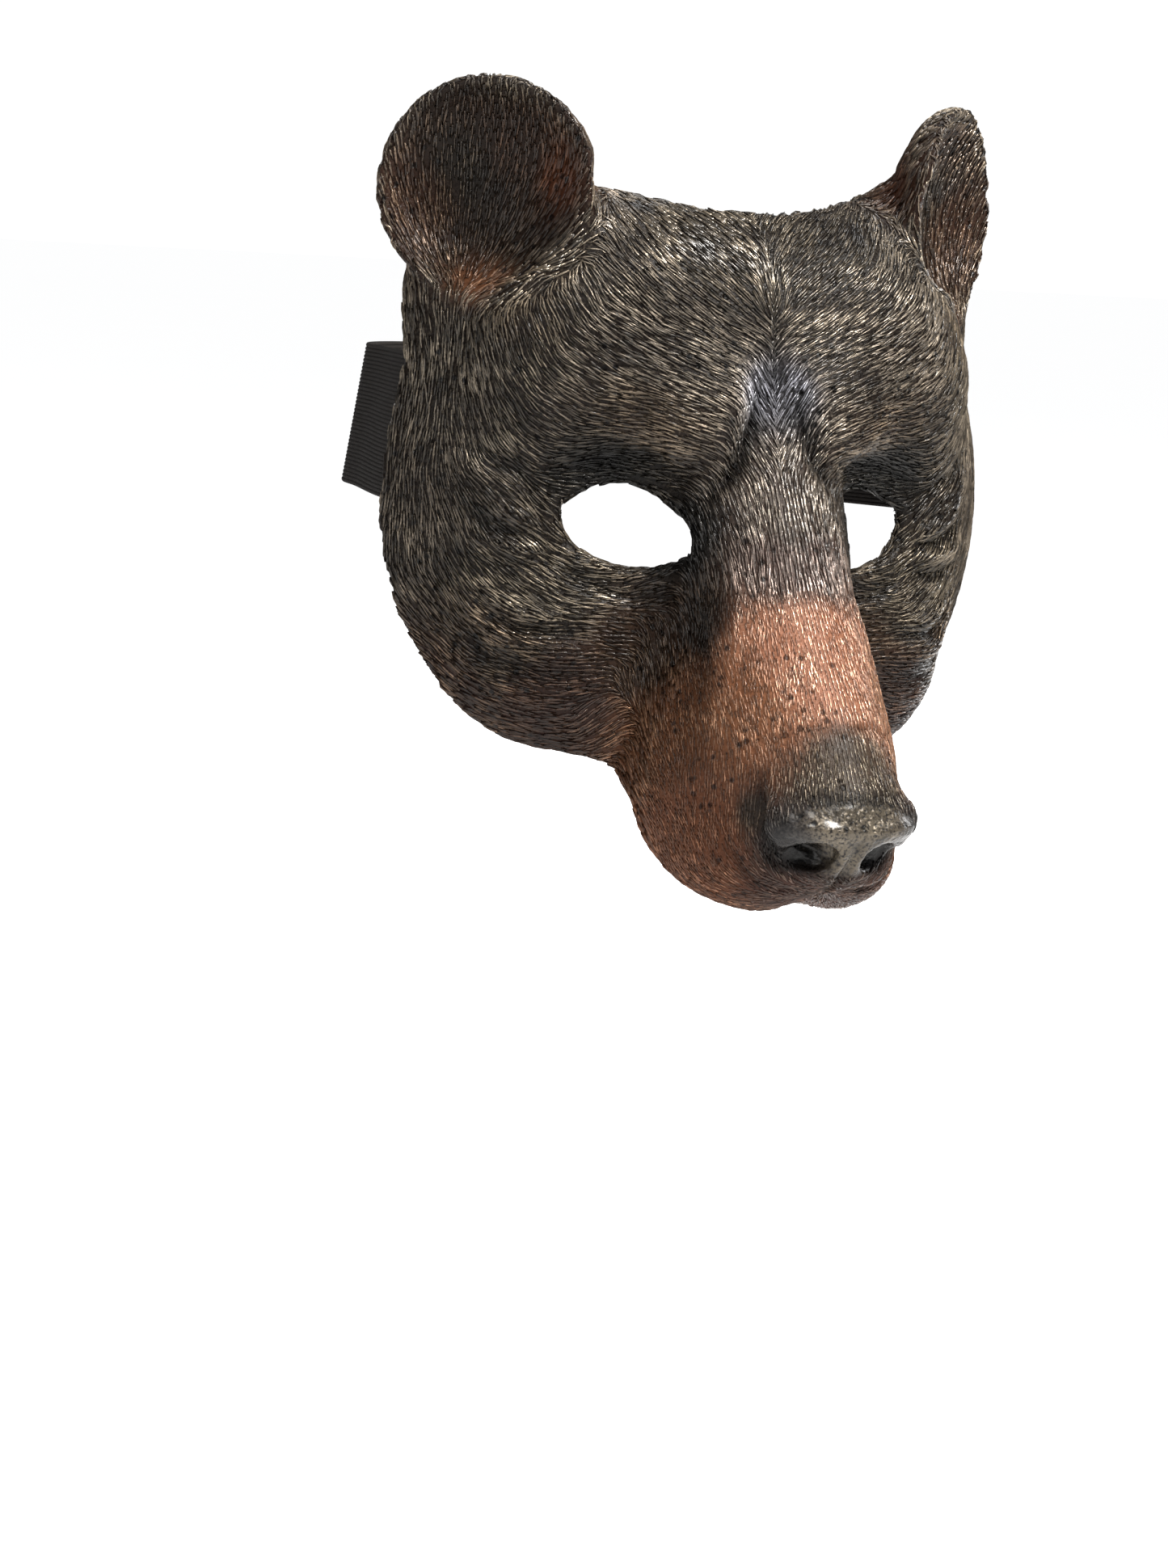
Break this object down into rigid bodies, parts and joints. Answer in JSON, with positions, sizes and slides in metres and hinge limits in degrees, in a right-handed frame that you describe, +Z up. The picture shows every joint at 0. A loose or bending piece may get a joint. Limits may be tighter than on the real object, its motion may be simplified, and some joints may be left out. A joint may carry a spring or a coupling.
{
  "type": "bear half mask",
  "caption": "Sculpted bear face half mask with cupped ears, open eye holes and muzzle, on a wide elastic strap round the head.",
  "frame": {"origin": "the place on the inner wall, in the middle plane, where the brow of the wearer bears", "axes": "+Z up, the face looks along -Y, +X is the right of the picture seen from the front"},
  "size_m": [0.233, 0.2836, 0.2634],
  "materials": {
    "painted_cast": "cast and hand painted: dark brown fur relief with dry-brushed silver ridges, orange-brown muzzle, satin varnish",
    "strap_elastic": "woven ribbed elastic, matt black-brown"
  },
  "bodies": {
    "root": {"mask_shell": "painted_cast", "head_strap": "strap_elastic"}
  },
  "joints": []
}
